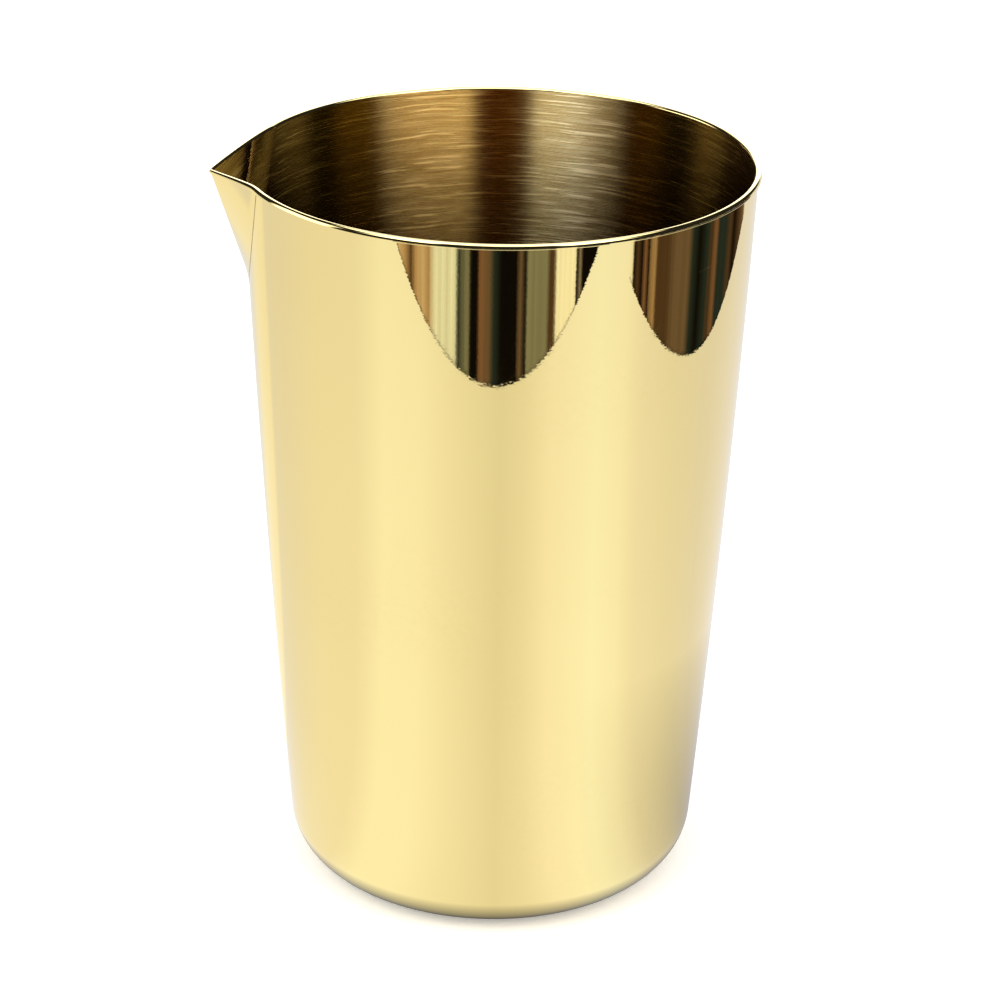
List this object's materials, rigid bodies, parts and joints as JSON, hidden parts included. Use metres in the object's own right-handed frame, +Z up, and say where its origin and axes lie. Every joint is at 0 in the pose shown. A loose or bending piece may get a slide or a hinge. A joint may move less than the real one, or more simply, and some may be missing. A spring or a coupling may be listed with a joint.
{
  "type": "cocktail mixing cup",
  "caption": "Tapered single-wall metal mixing cup with a hemmed rim, a rounded base corner and a sharp V-shaped pouring spout.",
  "frame": {"origin": "centre of the flat face that the cup stands on, on the axis of the cup", "axes": "+Z up along the axis of the cup, -X towards the tip of the spout"},
  "size_m": [0.0859, 0.0812, 0.12],
  "materials": {
    "mirror_gold": "polished",
    "brushed_gold": "satin",
    "weld_gold": "satin"
  },
  "bodies": {
    "root": {"cup_body": "mirror_gold", "pour_spout": "mirror_gold", "spout_weld": "weld_gold"}
  },
  "joints": []
}
